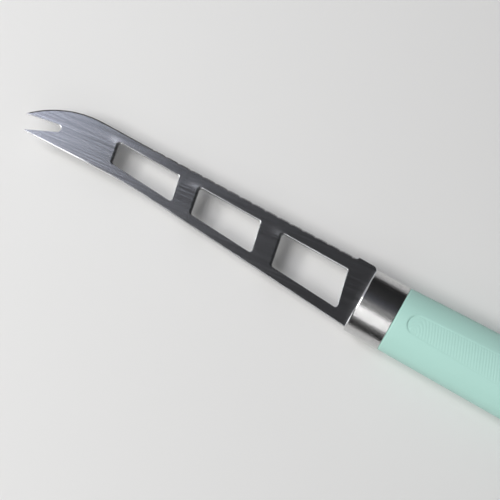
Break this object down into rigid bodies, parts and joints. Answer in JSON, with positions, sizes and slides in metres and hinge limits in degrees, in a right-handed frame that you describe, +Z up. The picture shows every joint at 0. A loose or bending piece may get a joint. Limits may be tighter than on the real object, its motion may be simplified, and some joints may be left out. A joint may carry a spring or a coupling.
{
  "type": "cheese knife",
  "caption": "Cheese knife with a forked, windowed and serrated steel blade, an oval steel ferrule and a soft mint grip with ribbed panels.",
  "frame": {"origin": "on the table, under the middle of the knife's length and width, with the knife lying on its flat side", "axes": "+X along the knife towards the butt, +Y towards the cutting edge, +Z up, square to the blade"},
  "size_m": [0.2322, 0.0234, 0.0172],
  "materials": {
    "blade_steel": "stainless sheet, brushed along the blade, ground at the edge",
    "ferrule_steel": "pressed stainless steel, finely brushed, nearly polished",
    "core_plastic": "moulded polypropylene, hidden",
    "soft_grip": "mint soft-touch skin, matt, finely ribbed in the panels"
  },
  "bodies": {
    "root": {"blade": "blade_steel", "ferrule": "ferrule_steel", "handle_core": "core_plastic", "grip_sleeve": "soft_grip"}
  },
  "joints": []
}
